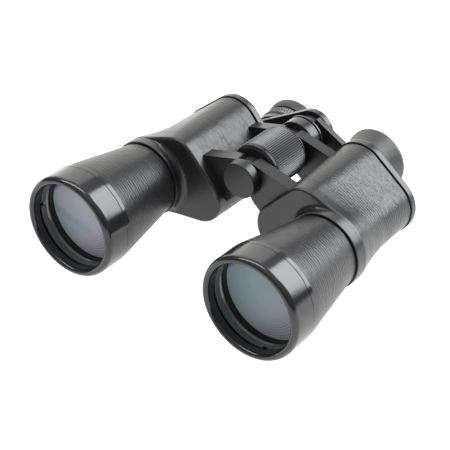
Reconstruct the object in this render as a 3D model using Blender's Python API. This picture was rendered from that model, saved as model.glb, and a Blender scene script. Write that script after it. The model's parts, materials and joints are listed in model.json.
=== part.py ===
"""Porro-prism binoculars, 10x50 class, with a centre focus wheel and a folding hinge.

Frame: +Z up, the optical axes run along Y with the objectives at -Y, +X is the user's left.
The origin is the centre of the footprint, level with the lowest point of the objective rims.
Lengths below are millimetres. A station is a distance along Y from the front rim.
"""
import math

import bmesh
import bpy
from mathutils import Vector

MM = 0.001
WELD = 2e-6                 # points closer than this are one point, in metres
GAP = 0.3                   # clearance between neighbouring pieces

# Driving dimensions
LENGTH = 163.4              # front rim to the ends of the eyecups
RIM_R = 29.1                # outside of the objective ring
OBJECTIVE_X = 59.0          # objective axis, from the hinge
EYE_X = 28.3                # eyepiece axis, from the hinge
EYE_RISE = -2.3             # eyepiece axis above the objective axis
HINGE_RISE = 17.0           # hinge axis above the objective axis

# Stations of the main pieces
SEAM = 16.6                 # objective ring meets barrel
WRAP_START = 20.8           # barrel covering
NECK = 64.6                 # barrel meets the housing collar
FRONT_FACE = 70.4           # front wall of the prism housing
HOUSING_REAR = 123.2
COVER_REAR = 128.3
CAP_FRONT = 71.0
FRONT_ARM = (77.0, 85.0)
WHEEL = (85.9, 113.6)
REAR_ARM = (116.2, 123.0)
COLLAR_REAR = 132.2
LEFT_BRIDGE = (135.0, 139.0)
RIGHT_BRIDGE = (139.3, 143.3)
SHELF = (96.8, 99.2)        # plate between the two prisms of a side

# Housing sections: station, then radii about the eyepiece, middle and objective axes
SECTIONS = [
    (73.0, 15.8, 14.0, 22.2),
    (86.0, 15.9, 14.7, 19.0),
    (98.0, 16.0, 15.2, 17.3),
    (HOUSING_REAR, 16.2, 16.0, 16.7),
]

# Radii and walls
BARREL_FRONT_R = 28.95      # over the covering
BARREL_NECK_R = 20.95
COVERING = 0.8
HOUSING_WALL = 1.3
HOUSING_DROP = 0.7          # the housing's eyepiece end sits this far below the eyepiece axis
KNUCKLE_R = 8.4
ARM_CLEAR_R = 8.8           # an arm stops here beside the other half's knuckle
ARM_CREST_R = 10.6          # top inner corner of an arm, from the hinge
AXLE_R = 4.0
SPINDLE_R = 2.6
HUB_R = 12.0
TUBE_R = 12.0               # sliding ocular tube
PRISM_HALF_WIDTH = 9.5

SIDES = {"left": 1.0, "right": -1.0}
ARM_TOP_END = {1.0: 65.0, -1.0: 57.0}   # degrees: the gap on top lets the halves fold by 54
SECTION_POINTS = 36         # points round a housing section
BIG_TURN = 28               # segments of a large turned piece
MID_TURN = 20
SMALL_TURN = 10

MATERIALS = {
    "gloss_black": ((0.012, 0.012, 0.013), 0.18, 0.0),
    "satin_black": ((0.022, 0.023, 0.024), 0.42, 0.0),
    "leatherette": ((0.016, 0.016, 0.017), 0.55, 0.0),
    "rubber": ((0.028, 0.028, 0.028), 0.75, 0.0),
    "anodised": ((0.030, 0.030, 0.032), 0.38, 0.6),
    "steel": ((0.50, 0.50, 0.52), 0.30, 1.0),
    "brass": ((0.60, 0.45, 0.20), 0.35, 1.0),
    "coated_lens": ((0.45, 0.52, 0.62), 0.05, 0.0),
    "prism_glass": ((0.80, 0.86, 0.85), 0.05, 0.0),
}


def y_at(station):
    """World Y of a station, in metres."""
    return (station - LENGTH / 2) * MM


def z_at(rise):
    """World Z of a height above the objective axis, in metres."""
    return (rise + RIM_R) * MM


def clear_scene():
    for obj in list(bpy.data.objects):
        bpy.data.objects.remove(obj, do_unlink=True)


def material(name):
    """The named Principled material, made on first use."""
    found = bpy.data.materials.get(name)
    if found:
        return found
    colour, roughness, metallic = MATERIALS[name]
    made = bpy.data.materials.new(name)
    made.use_nodes = True
    shader = made.node_tree.nodes["Principled BSDF"]
    shader.inputs["Base Color"].default_value = (*colour, 1.0)
    shader.inputs["Roughness"].default_value = roughness
    shader.inputs["Metallic"].default_value = metallic
    return made


def empty(name, x, station, rise, parent=None):
    """A body's frame, standing on the axis the body moves about or along."""
    made = bpy.data.objects.new(name, None)
    bpy.context.collection.objects.link(made)
    world = Vector((x * MM, y_at(station), z_at(rise)))
    made["world"] = list(world)
    made.parent = parent
    made.location = world - Vector(parent["world"]) if parent else world
    return made


def add_object(name, bm, centre, finish, body, smooth=True):
    """Turn a bmesh whose points are in metres about centre into a named object of a body."""
    bmesh.ops.recalc_face_normals(bm, faces=bm.faces)
    mesh = bpy.data.meshes.new(name)
    bm.to_mesh(mesh)
    bm.free()
    if smooth:
        mesh.shade_smooth()
        mesh.set_sharp_from_angle(angle=math.radians(35))
    mesh.materials.append(material(finish))
    made = bpy.data.objects.new(name, mesh)
    bpy.context.collection.objects.link(made)
    made.parent = body
    made.location = centre - Vector(body["world"]) if body else centre
    return made


def boolean(target, cutter, operation):
    """Apply an exact Boolean to target and remove the cutter."""
    step = target.modifiers.new("step", "BOOLEAN")
    step.operation = operation
    step.object = cutter
    step.solver = "EXACT"
    bpy.context.view_layer.update()
    graph = bpy.context.evaluated_depsgraph_get()
    mesh = bpy.data.meshes.new_from_object(target.evaluated_get(graph))
    target.modifiers.remove(step)
    bm = bmesh.new()
    bm.from_mesh(mesh)
    bmesh.ops.remove_doubles(bm, verts=bm.verts, dist=WELD)
    bmesh.ops.dissolve_limit(bm, verts=bm.verts, edges=bm.edges, angle_limit=math.radians(0.05))
    bm.to_mesh(mesh)
    bm.free()
    target.data = mesh
    bpy.data.objects.remove(cutter, do_unlink=True)
    return target


def turned(name, x, rise, profile, segments, finish="steel", body=None):
    """Spin a closed profile of (radius, station) points about an axis along Y."""
    middle = sum(station for _, station in profile) / len(profile)
    bm = bmesh.new()
    points = [bm.verts.new((radius * MM, (station - middle) * MM, 0.0)) for radius, station in profile]
    edges = []
    for start, end in zip(points, points[1:] + points[:1]):
        if start.co.x > 0.0 or end.co.x > 0.0:
            edges.append(bm.edges.new((start, end)))
    bmesh.ops.spin(
        bm, geom=points + edges, cent=(0, 0, 0), axis=(0, 1, 0), dvec=(0, 0, 0),
        angle=math.tau, steps=segments, use_merge=True, use_duplicate=False,
    )
    bmesh.ops.remove_doubles(bm, verts=bm.verts, dist=WELD)
    centre = Vector((x * MM, y_at(middle), z_at(rise)))
    return add_object(name, bm, centre, finish, body)


def bored(target, x, rise, radius, stations, segments):
    """Drill a hole along Y right through target, a little past both stations."""
    front, rear = stations[0] - 1.0, stations[1] + 1.0
    profile = [(0.0, front), (radius, front), (radius, rear), (0.0, rear)]
    return boolean(target, turned("drill", x, rise, profile, segments), "DIFFERENCE")


def plate(name, outline, stations, finish="steel", body=None):
    """Extrude an (x, rise) outline along Y between two stations."""
    x_mid = sum(x for x, _ in outline) / len(outline)
    rise_mid = sum(rise for _, rise in outline) / len(outline)
    front, rear = stations
    bm = bmesh.new()
    corners = [bm.verts.new(((x - x_mid) * MM, 0.0, (rise - rise_mid) * MM)) for x, rise in outline]
    face = bm.faces.new(corners)
    moved = bmesh.ops.extrude_face_region(bm, geom=[face])["geom"]
    depth = Vector((0.0, (rear - front) * MM, 0.0))
    bmesh.ops.translate(bm, verts=[v for v in moved if isinstance(v, bmesh.types.BMVert)], vec=depth)
    centre = Vector((x_mid * MM, y_at(front), z_at(rise_mid)))
    return add_object(name, bm, centre, finish, body, smooth=False)


def block(x_range, stations, rises, name="block", finish="steel", body=None):
    """A plain box between two x, two stations and two heights."""
    (left, right), (low, high) = x_range, rises
    outline = [(left, low), (right, low), (right, high), (left, high)]
    return plate(name, outline, stations, finish, body)


def arc(x, rise, radius, start_deg, end_deg, steps):
    """Points of an arc about (x, rise), counter-clockwise seen from the front when end > start."""
    angles = [start_deg + (end_deg - start_deg) * i / steps for i in range(steps + 1)]
    return [
        (x + radius * math.cos(math.radians(a)), rise + radius * math.sin(math.radians(a))) for a in angles
    ]


def round_hull(circles, count=SECTION_POINTS):
    """The taut band round a set of (x, rise, radius) circles, one point for each direction."""
    points = []
    for i in range(count):
        angle = math.tau * (i + 0.5) / count
        nx, nz = math.cos(angle), math.sin(angle)
        x, rise, radius = max(circles, key=lambda c: c[0] * nx + c[1] * nz + c[2])
        points.append((x + radius * nx, rise + radius * nz))
    return points


def shell(name, rings, finish="steel", body=None, capped=False):
    """Join rings of (points, station). The last ring closes on the first unless the ends are capped.

    Every quad is split along the same diagonal, so nested shells keep their distance.
    """
    x_mid = sum(x for x, _ in rings[0][0]) / len(rings[0][0])
    middle = (rings[0][1] + rings[len(rings) // 2][1]) / 2
    bm = bmesh.new()
    made = []
    for points, station in rings:
        y = (station - middle) * MM
        made.append([bm.verts.new(((x - x_mid) * MM, y, rise * MM)) for x, rise in points])
    pairs = list(zip(made, made[1:]))
    if capped:
        bm.faces.new(made[0])
        bm.faces.new(made[-1])
    else:
        pairs.append((made[-1], made[0]))
    for first, second in pairs:
        if first[0].co.y > second[0].co.y:
            first, second = second, first
        for i in range(len(first)):
            j = (i + 1) % len(first)
            bm.faces.new((first[i], first[j], second[j]))
            bm.faces.new((first[i], second[j], second[i]))
    return add_object(name, bm, Vector((x_mid * MM, y_at(middle), z_at(0.0))), finish, body)


# Housing geometry shared by several pieces of a side

def middle_axis():
    """The folded light path between the two prisms of the left side, as (x, rise)."""
    half_x = (OBJECTIVE_X - EYE_X) / 2
    half_rise = -EYE_RISE / 2
    centre = (EYE_X + half_x, EYE_RISE + half_rise)
    return centre[0] - half_rise, centre[1] + half_x


def housing_radii(station):
    """Outside radii about the eyepiece, middle and objective axes, over the covering."""
    for first, second in zip(SECTIONS, SECTIONS[1:]):
        if station <= second[0]:
            break
    along = (station - first[0]) / (second[0] - first[0])
    return [a + (b - a) * along for a, b in zip(first[1:], second[1:])]


def housing_circles(side, station, delta=0.0):
    """The three circles whose taut band is the housing's section."""
    mid_x, mid_rise = middle_axis()
    r_eye, r_mid, r_obj = housing_radii(station)
    return [
        (side * EYE_X, EYE_RISE - HOUSING_DROP, r_eye + delta),
        (side * mid_x, mid_rise, r_mid + delta),
        (side * OBJECTIVE_X, 0.0, r_obj + delta),
    ]


def housing_ring(side, station, delta=0.0):
    return round_hull(housing_circles(side, station, delta)), station


def circle_ring(x, rise, radius, station):
    return round_hull([(x, rise, radius)]), station


def housing_block(side, delta, start, end):
    """The housing's outside, grown by delta, as a solid cutter."""
    stations = [start] + [row[0] for row in SECTIONS if start < row[0] < end] + [end]
    return shell("housing_block", [housing_ring(side, s, delta) for s in stations], capped=True)


# Objective end

def objective_ring(name, x, body):
    profile = [
        (RIM_R, SEAM - GAP), (RIM_R, 3.0), (28.5, 1.0), (27.3, 0.0), (26.3, 0.7), (25.95, 2.6),
        (25.95, 4.2), (26.6, 4.8), (26.6, 8.7), (28.3, 8.7), (28.3, SEAM - GAP),
    ]
    return turned(name, x, 0.0, profile, BIG_TURN, "gloss_black", body)


def barrel(name, x, body):
    skin = COVERING + GAP
    profile = [
        (26.6, 9.0), (28.0, 9.0), (28.0, SEAM + 0.2), (29.0, SEAM + 0.2), (BARREL_FRONT_R, WRAP_START),
        (BARREL_FRONT_R - skin, WRAP_START), (BARREL_NECK_R - skin, NECK - 2.2),
        (BARREL_NECK_R - skin, NECK - 0.4), (17.0, NECK - 0.4), (17.0, 72.5), (15.4, 72.5),
        (24.2, 27.0), (24.2, 25.8), (25.7, 25.8), (25.7, 19.3), (26.6, 19.3),
    ]
    return turned(name, x, 0.0, profile, BIG_TURN, "satin_black", body)


def barrel_covering(name, x, body):
    front, rear = WRAP_START + GAP, NECK - 2.2
    profile = [
        (BARREL_FRONT_R - COVERING, front), (BARREL_FRONT_R, front),
        (BARREL_NECK_R, rear), (BARREL_NECK_R - COVERING, rear),
    ]
    return turned(name, x, 0.0, profile, BIG_TURN, "leatherette", body)


def objective_lens(name, x, body):
    """A cemented doublet: convex in front, slightly hollow behind."""
    radius, front_edge, rear_edge = 25.4, 19.5, 25.5
    front = [(radius * i / 3, front_edge - 3.0 * (1.0 - (i / 3) ** 2)) for i in range(4)]
    rear = [(radius, rear_edge), (0.0, rear_edge - 0.8)]
    return turned(name, x, 0.0, front + rear, BIG_TURN, "coated_lens", body)


def retaining_ring(name, x, side, body):
    """The threaded ring in front of the lens, with two spanner slots in its front edge."""
    profile = [(25.3, 8.0), (26.3, 8.0), (26.3, 14.4), (25.3, 14.4)]
    ring = turned(name, x, 0.0, profile, BIG_TURN, "anodised", body)
    slot = block((x - 1.2, x + 1.2), (7.0, 9.4), (-28.0, 28.0))
    slot.rotation_euler.y = math.radians(20.0 * side)
    return boolean(ring, slot, "DIFFERENCE")


def lens_ring(name, x, body):
    """The seat ring that presses on the lens, with a conical bore."""
    profile = [(25.9, 14.8), (26.3, 14.8), (26.3, 19.0), (24.9, 19.0)]
    return turned(name, x, 0.0, profile, BIG_TURN, "satin_black", body)


# Prism housing

def housing(name, side, body):
    """A cast shell: open behind for the prisms, with a round collar in front for the barrel."""
    x = side * OBJECTIVE_X
    base = -(COVERING + GAP)
    inside = base - HOUSING_WALL
    centres = housing_circles(side, FRONT_FACE)
    face = round_hull([(c[0], c[1], r) for c, r in zip(centres, (13.7, 11.9, 21.95))])
    rings = [circle_ring(x, 0.0, 21.3, NECK), circle_ring(x, 0.0, 21.7, NECK + 0.6)]
    rings += [circle_ring(x, 0.0, 21.7, FRONT_FACE), (face, FRONT_FACE)]
    rings += [housing_ring(side, FRONT_FACE + 0.9, -0.35), housing_ring(side, 73.0)]
    rings += [housing_ring(side, FRONT_ARM[0] - GAP), housing_ring(side, FRONT_ARM[0] - GAP, base)]
    rings += [housing_ring(side, s, base) for s in (86.0, 98.0, HOUSING_REAR)]
    rings += [housing_ring(side, s, inside) for s in (HOUSING_REAR, 98.0, 86.0, 72.6)]
    rings += [circle_ring(x, 0.0, 17.3, 72.6), circle_ring(x, 0.0, 17.3, NECK)]
    return shell(name, rings, "satin_black", body)


def housing_covering(name, side, body):
    """The covering: a sleeve cut away where the hinge arms join the casting."""
    stations = [FRONT_ARM[0], 86.0, 98.0, HOUSING_REAR - GAP]
    rings = [housing_ring(side, s) for s in stations]
    rings += [housing_ring(side, s, -COVERING) for s in reversed(stations)]
    sleeve = shell(name, rings, "leatherette", body)
    for span in (FRONT_ARM, REAR_ARM):
        outline = arm_outline(side, GAP)
        boolean(sleeve, plate("notch", outline, (span[0] - 1.0, span[1] + GAP)), "DIFFERENCE")
    return sleeve


def rear_cover(name, side, body):
    """The back plate, bored for the eyepiece guide and for its two screws."""
    eye = (side * EYE_X, EYE_RISE, 13.9)
    rings = [housing_ring(side, HOUSING_REAR + GAP, 0.1), housing_ring(side, COVER_REAR - 1.5, 0.1)]
    rings += [housing_ring(side, COVER_REAR, -1.3)]
    rings += [circle_ring(*eye, COVER_REAR), circle_ring(*eye, HOUSING_REAR + GAP)]
    cover = shell(name, rings, "satin_black", body)
    for x, rise in screw_places(side):
        profile = [(0.0, 124.3), (1.2, 124.3), (1.2, 126.6), (2.1, 126.6), (2.1, 129.0), (0.0, 129.0)]
        boolean(cover, turned("screw_hole", x, rise, profile, SMALL_TURN), "DIFFERENCE")
    return cover


def screw_places(side):
    mid_x, mid_rise = middle_axis()
    return [(side * (OBJECTIVE_X + 10.4), -6.0), (side * (mid_x + 2.0), mid_rise + 11.6)]


def cover_screw(name, x, rise, body):
    profile = [(0.0, 124.6), (0.9, 124.6), (0.9, 126.9), (1.8, 126.9), (1.8, 128.0), (0.0, 128.0)]
    return turned(name, x, rise, profile, SMALL_TURN, "steel", body)


def prism_shelf(name, side, body):
    """The plate that both prisms sit on, with a window for each pass of the light."""
    delta = -(COVERING + GAP + HOUSING_WALL + 0.4)
    rings = [housing_ring(side, SHELF[0], delta), (housing_ring(side, SHELF[0], delta)[0], SHELF[1])]
    shelf = shell(name, rings, "anodised", body, capped=True)
    for x, rise, _ in housing_circles(side, SHELF[0]):
        bored(shelf, x, rise, 8.2, SHELF, MID_TURN)
    return shelf


def prism_frame(side, first, second):
    """Centre, length direction, width direction and axis spacing of a prism that joins two axes."""
    start = Vector((side * first[0], first[1]))
    end = Vector((side * second[0], second[1]))
    length = (end - start).normalized()
    return (start + end) / 2, length, Vector((-length.y, length.x)), (end - start).length


def from_section(name, centre, length, width, half_width, base, sense, section, finish, body):
    """Extrude a (distance along length, height over base) section by half_width to both sides."""
    bm = bmesh.new()
    faces = []
    for offset in (-half_width, half_width):
        ring = []
        for along, height in section:
            spot = length * along + width * offset
            ring.append(bm.verts.new((spot.x * MM, sense * height * MM, spot.y * MM)))
        faces.append(ring)
        bm.faces.new(ring)
    for i in range(len(section)):
        j = (i + 1) % len(section)
        bm.faces.new((faces[0][i], faces[0][j], faces[1][j], faces[1][i]))
    place = Vector((centre.x * MM, y_at(base), z_at(centre.y)))
    return add_object(name, bm, place, finish, body, smooth=False)


def prism(name, side, first, second, base, sense, corner_r, body):
    """A right-angle prism: long face on the shelf, roof away from it, ends ground round."""
    centre, length, width, span = prism_frame(side, first, second)
    top = span - 1.3
    section = [(-span, 0.0), (-span + top, top), (span - top, top), (span, 0.0)]
    made = from_section(
        name, centre, length, width, PRISM_HALF_WIDTH, base, sense, section, "prism_glass", body
    )
    ends = [(side * first[0], first[1], corner_r), (side * second[0], second[1], corner_r)]
    reach = sorted((base - sense, base + sense * (span + 2.0)))
    envelope = shell("envelope", [(round_hull(ends), s) for s in reach], capped=True)
    return boolean(made, envelope, "INTERSECT")


def prism_clip(name, side, first, second, base, sense, body):
    """The spring strap that bends over a prism's roof and holds it on the shelf."""
    centre, length, width, span = prism_frame(side, first, second)
    section = []
    for offset, order in ((0.35, 1), (1.15, -1)):
        crest = span - 1.3 + offset
        flat = span + offset * math.sqrt(2.0) - crest
        foot = (20.0, span + offset * math.sqrt(2.0) - 20.0)
        line = [(-foot[0], foot[1]), (-flat, crest), (flat, crest), foot]
        section += line[::order]
    return from_section(name, centre, length, width, 3.0, base, sense, section, "steel", body)


def strap_lug(name, side, body):
    """A small closed loop under the housing, for the neck strap."""
    x = side * 45.0
    stations = (106.0, 120.0)
    loop = block((x - 1.5, x + 1.5), stations, (-25.6, -14.0), name, "steel", body)
    slot = block((x - 3.0, x + 3.0), (stations[0] + 2.2, stations[1] - 2.2), (-24.1, -19.5))
    boolean(loop, slot, "DIFFERENCE")
    return boolean(loop, housing_block(side, GAP, 100.0, 123.0), "DIFFERENCE")


# Hinge

def arm_outline(side, grow=0.0):
    """Outline of a hinge arm: a round knuckle on the hinge and a tall web into the housing's flank."""
    top_end = ARM_TOP_END[side]
    outline = arc(0.0, HINGE_RISE, KNUCKLE_R, 284.0, top_end, 12)
    outline += arc(0.0, HINGE_RISE, ARM_CREST_R + grow, top_end, top_end, 1)[:1]
    outline += [(32.0, 19.2 + grow), (32.0, -4.0), (20.0, -9.5 - grow)]
    outline += [(12.2, -3.2 - grow), (8.6, 0.4 - grow), (5.8, 2.8 - grow), (4.0 - grow, 5.4 - grow)]
    return [(side * x, rise) for x, rise in outline]


def hinge_arm(name, side, span, clearance, body):
    """One arm of the hinge. Over the stations in clearance it makes room for the other half's knuckle."""
    arm = plate(name, arm_outline(side), span, "satin_black", body)
    bored(arm, 0.0, HINGE_RISE, AXLE_R + GAP, span, MID_TURN)
    front, rear = clearance
    room = [(0.0, front), (ARM_CLEAR_R, front), (ARM_CLEAR_R, rear), (0.0, rear)]
    boolean(arm, turned("room", 0.0, HINGE_RISE, room, MID_TURN), "DIFFERENCE")
    return boolean(arm, housing_block(side, -COVERING, span[0] - 3.0, span[1] + 3.0), "DIFFERENCE")


def hinge_cap(body):
    """The plain screw cap on the front of the hinge. It hides the tripod thread."""
    profile = [
        (0.0, CAP_FRONT), (9.9, CAP_FRONT), (10.4, CAP_FRONT + 0.5), (10.9, 76.6), (7.3, 76.6), (7.3, 73.2),
        (0.0, 73.2),
    ]
    return turned("hinge_cap", 0.0, HINGE_RISE, profile, BIG_TURN, "satin_black", body)


def hinge_nut(body):
    profile = [(0.0, 73.7), (6.8, 73.7), (6.8, 76.4), (0.0, 76.4)]
    nut = turned("hinge_nut", 0.0, HINGE_RISE, profile, 6, "brass", body)
    return bored(nut, 0.0, HINGE_RISE, AXLE_R + GAP, (73.7, 76.4), 24)


def hinge_axle(body):
    """The hollow axle, slotted on both sides for the focus drive pin."""
    profile = [(3.0, 73.6), (AXLE_R, 73.6), (AXLE_R, 131.0), (3.0, 131.0)]
    axle = turned("hinge_axle", 0.0, HINGE_RISE, profile, 24, "steel", body)
    slot = block((-6.0, 6.0), (92.0, 104.4), (HINGE_RISE - 1.3, HINGE_RISE + 1.3))
    return boolean(axle, slot, "DIFFERENCE")


def rear_collar(body):
    """The polished drum behind the rear arms, with a grooved rear edge."""
    profile = [
        (AXLE_R + GAP, 123.4), (11.6, 123.4), (12.0, 123.8), (12.0, 130.0), (11.3, 130.2), (11.3, 130.7),
        (12.3, 130.9), (12.3, COLLAR_REAR), (AXLE_R + GAP, COLLAR_REAR),
    ]
    return turned("rear_collar", 0.0, HINGE_RISE, profile, BIG_TURN, "gloss_black", body)


# Focus drive

def focus_wheel(body):
    """The ribbed wheel's plain core: its ribs reach this radius. The wide bore clears the pin."""
    front, rear = WHEEL
    bore, pocket = AXLE_R + GAP, 6.6
    profile = [
        (bore, front), (12.2, front), (13.4, front + 0.5), (14.7, front + 1.8), (14.7, rear - 1.8),
        (13.4, rear - 0.5), (12.2, rear), (bore, rear), (bore, 110.0), (pocket, 109.0), (pocket, 90.0),
        (bore, 89.0),
    ]
    return turned("focus_wheel", 0.0, HINGE_RISE, profile, BIG_TURN, "anodised", body)


def focus_spindle(body):
    """The rod that the wheel draws along, cross-bored for the drive pin."""
    profile = [(0.0, 90.0), (SPINDLE_R, 90.0), (SPINDLE_R, 143.2), (0.0, 143.2)]
    rod = turned("focus_spindle", 0.0, HINGE_RISE, profile, SMALL_TURN, "steel", body)
    hole = block((-4.0, 4.0), (94.7, 97.3), (HINGE_RISE - 1.2, HINGE_RISE + 1.2))
    return boolean(rod, hole, "DIFFERENCE")


def focus_drive_pin(body):
    """The cross pin that follows the helical track inside the wheel."""
    rises = (HINGE_RISE - 0.85, HINGE_RISE + 0.85)
    return block((-5.6, 5.6), (95.05, 96.95), rises, "focus_drive_pin", "steel", body)


def bridge_arm(name, side, span, hub_r, body):
    """An arm of the eyepiece bridge: hub on the spindle, ring round the ocular tube."""
    lean = math.degrees(math.atan2(EYE_X, HINGE_RISE - EYE_RISE))
    ring = arc(EYE_X, EYE_RISE, 15.2, lean - 180.0, lean, 10)
    crown = arc(0.0, HINGE_RISE, HUB_R, lean, lean + 9.0, 1)
    hub = arc(0.0, HINGE_RISE, hub_r, lean + 9.0, lean + 180.0, 8)
    if hub_r == HUB_R:
        crown = crown[:1]
    outline = [(side * x, rise) for x, rise in ring + crown + hub]
    arm = plate(name, outline, span, "satin_black", body)
    bored(arm, side * EYE_X, EYE_RISE, TUBE_R + GAP, span, MID_TURN)
    return bored(arm, 0.0, HINGE_RISE, SPINDLE_R + GAP, span, SMALL_TURN)


def bridge_screw(body):
    """The slotted screw that holds both bridge arms on the spindle."""
    profile = [(0.0, 143.6), (6.4, 143.6), (6.4, 145.2), (5.4, 146.2), (0.0, 146.2)]
    screw = turned("bridge_screw", 0.0, HINGE_RISE, profile, 24, "steel", body)
    slot = block((-0.6, 0.6), (145.2, 147.0), (HINGE_RISE - 8.0, HINGE_RISE + 8.0))
    return boolean(screw, slot, "DIFFERENCE")


# Eyepieces

def guide_tube(name, x, body):
    """The fixed tube in the rear cover that the ocular tube slides in."""
    inner = TUBE_R + GAP
    profile = [
        (inner, 123.6), (13.5, 123.6), (13.5, COVER_REAR + GAP), (15.5, COVER_REAR + GAP), (15.5, 130.4),
        (13.8, 130.8), (13.8, 132.4), (inner, 132.4),
    ]
    return turned(name, x, EYE_RISE, profile, MID_TURN, "anodised", body)


def left_ocular_tube(x, body):
    """The left sliding tube, with a flange at its rear end for the eyecup and a seat for the eye lens."""
    profile = [
        (11.0, 117.0), (TUBE_R, 117.0), (TUBE_R, 155.2), (13.2, 155.2), (13.2, 158.0), (9.6, 158.0),
        (9.6, 149.0), (11.0, 148.0),
    ]
    return turned("left_ocular_tube", x, EYE_RISE, profile, MID_TURN, "anodised", body)


def right_ocular_tube(x, body):
    """The right sliding tube, with the collar that carries the dioptre index mark."""
    profile = [
        (11.0, 117.0), (TUBE_R, 117.0), (TUBE_R, 143.7), (16.0, 143.7), (16.0, 148.6), (TUBE_R, 148.6),
        (TUBE_R, 153.4), (11.0, 153.4),
    ]
    return turned("right_ocular_tube", x, EYE_RISE, profile, MID_TURN, "anodised", body)


def dioptre_cell(x, body):
    """The threaded cell of the right eye lens, which the dioptre ring moves in and out."""
    profile = [(9.6, 146.0), (10.7, 146.0), (10.7, 155.2), (13.2, 155.2), (13.2, 158.0), (9.6, 158.0)]
    return turned("dioptre_cell", x, EYE_RISE, profile, MID_TURN, "anodised", body)


def dioptre_ring(x, body):
    """The ribbed ring that sets the right eyepiece. Its rear recess takes the eyecup's spigot."""
    inner = TUBE_R + 0.4
    profile = [
        (inner, 149.0), (16.4, 149.0), (17.0, 149.6), (17.0, 155.5), (16.6, 156.0), (14.6, 156.0),
        (14.6, 151.6), (inner, 151.6),
    ]
    return turned("dioptre_ring", x, EYE_RISE, profile, MID_TURN, "anodised", body)


def cup_mouth():
    """The flared rubber lip that both eyecups end in, from the outside round to the inside."""
    return [
        (18.2, 159.6), (18.75, 161.8), (18.7, 162.9), (18.2, LENGTH), (16.8, LENGTH), (15.6, 162.4),
        (14.8, 159.2), (13.5, 158.7),
    ]


def left_eyecup(x, body):
    inner = TUBE_R + GAP
    outside = [(inner, 139.4), (15.2, 139.4), (15.3, 144.0), (15.7, 149.0), (16.8, 154.5)]
    inside = [(13.5, 154.9), (inner, 154.9)]
    return turned("left_eyecup", x, EYE_RISE, outside + cup_mouth() + inside, MID_TURN, "rubber", body)


def right_eyecup(x, body):
    outside = [(13.5, 152.9), (14.2, 152.9), (14.2, 157.3), (17.2, 157.3)]
    return turned("right_eyecup", x, EYE_RISE, outside + cup_mouth(), MID_TURN, "rubber", body)


def small_lens(name, x, radius, front, thickness, body):
    """A biconvex eyepiece lens."""
    bulge, rear = 1.0, front + thickness
    profile = [
        (0.0, front - bulge), (radius * 0.6, front - bulge * 0.64), (radius, front),
        (radius, rear), (radius * 0.6, rear + bulge * 0.64), (0.0, rear + bulge),
    ]
    return turned(name, x, EYE_RISE, profile, 24, "coated_lens", body)


def build_half(label, side, half, ocular, eye_body):
    """Everything on one side apart from what is special to one eyepiece."""
    x = side * OBJECTIVE_X
    eye_x = side * EYE_X
    objective, middle, eye = (OBJECTIVE_X, 0.0), middle_axis(), (EYE_X, EYE_RISE)
    objective_ring(f"{label}_objective_ring", x, half)
    barrel(f"{label}_barrel", x, half)
    barrel_covering(f"{label}_barrel_covering", x, half)
    objective_lens(f"{label}_objective_lens", x, half)
    retaining_ring(f"{label}_retaining_ring", x, side, half)
    lens_ring(f"{label}_lens_ring", x, half)
    housing(f"{label}_housing", side, half)
    housing_covering(f"{label}_housing_covering", side, half)
    rear_cover(f"{label}_rear_cover", side, half)
    for number, (screw_x, rise) in enumerate(screw_places(side), 1):
        cover_screw(f"{label}_cover_screw_{number}", screw_x, rise, half)
    prism_shelf(f"{label}_prism_shelf", side, half)
    front_base, rear_base = SHELF[0] - GAP, SHELF[1] + GAP
    prism(f"{label}_front_prism", side, middle, eye, front_base, -1, 12.4, half)
    prism(f"{label}_rear_prism", side, objective, middle, rear_base, 1, 12.6, half)
    prism_clip(f"{label}_front_prism_clip", side, middle, eye, front_base, -1, half)
    prism_clip(f"{label}_rear_prism_clip", side, objective, middle, rear_base, 1, half)
    strap_lug(f"{label}_strap_lug", side, half)
    guide_tube(f"{label}_guide_tube", eye_x, half)
    small_lens(f"{label}_field_lens", eye_x, 10.7, 121.0, 3.0, ocular)
    small_lens(f"{label}_eye_lens", eye_x, 9.3, 151.5, 3.0, eye_body)


def main():
    clear_scene()
    left_half = empty("left_half_frame", 0.0, LENGTH / 2, HINGE_RISE)
    right_half = empty("right_half_frame", 0.0, LENGTH / 2, HINGE_RISE, left_half)
    wheel = empty("focus_wheel_frame", 0.0, sum(WHEEL) / 2, HINGE_RISE, left_half)
    left_ocular = empty("left_ocular_frame", EYE_X, LEFT_BRIDGE[0], EYE_RISE, left_half)
    right_ocular = empty("right_ocular_frame", -EYE_X, RIGHT_BRIDGE[0], EYE_RISE, right_half)
    ring = empty("dioptre_ring_frame", -EYE_X, 149.0, EYE_RISE, right_ocular)
    cell = empty("dioptre_cell_frame", -EYE_X, 152.0, EYE_RISE, right_ocular)

    build_half("left", SIDES["left"], left_half, left_ocular, left_ocular)
    build_half("right", SIDES["right"], right_half, right_ocular, cell)

    for place, span in (("front", FRONT_ARM), ("rear", REAR_ARM)):
        split = sum(span) / 2
        ahead, behind = (span[0] - 1.0, split + GAP / 2), (split - GAP / 2, span[1] + 1.0)
        hinge_arm(f"left_{place}_arm", 1.0, span, behind, left_half)
        hinge_arm(f"right_{place}_arm", -1.0, span, ahead, right_half)
    hinge_cap(left_half)
    hinge_nut(left_half)
    hinge_axle(left_half)
    rear_collar(left_half)

    focus_wheel(wheel)
    focus_spindle(left_ocular)
    focus_drive_pin(left_ocular)
    bridge_arm("left_bridge_arm", 1.0, LEFT_BRIDGE, 9.6, left_ocular)
    bridge_arm("right_bridge_arm", -1.0, RIGHT_BRIDGE, HUB_R, right_ocular)
    bridge_screw(left_ocular)

    left_ocular_tube(EYE_X, left_ocular)
    left_eyecup(EYE_X, left_ocular)
    right_ocular_tube(-EYE_X, right_ocular)
    dioptre_ring(-EYE_X, ring)
    dioptre_cell(-EYE_X, cell)
    right_eyecup(-EYE_X, cell)


main()
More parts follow.
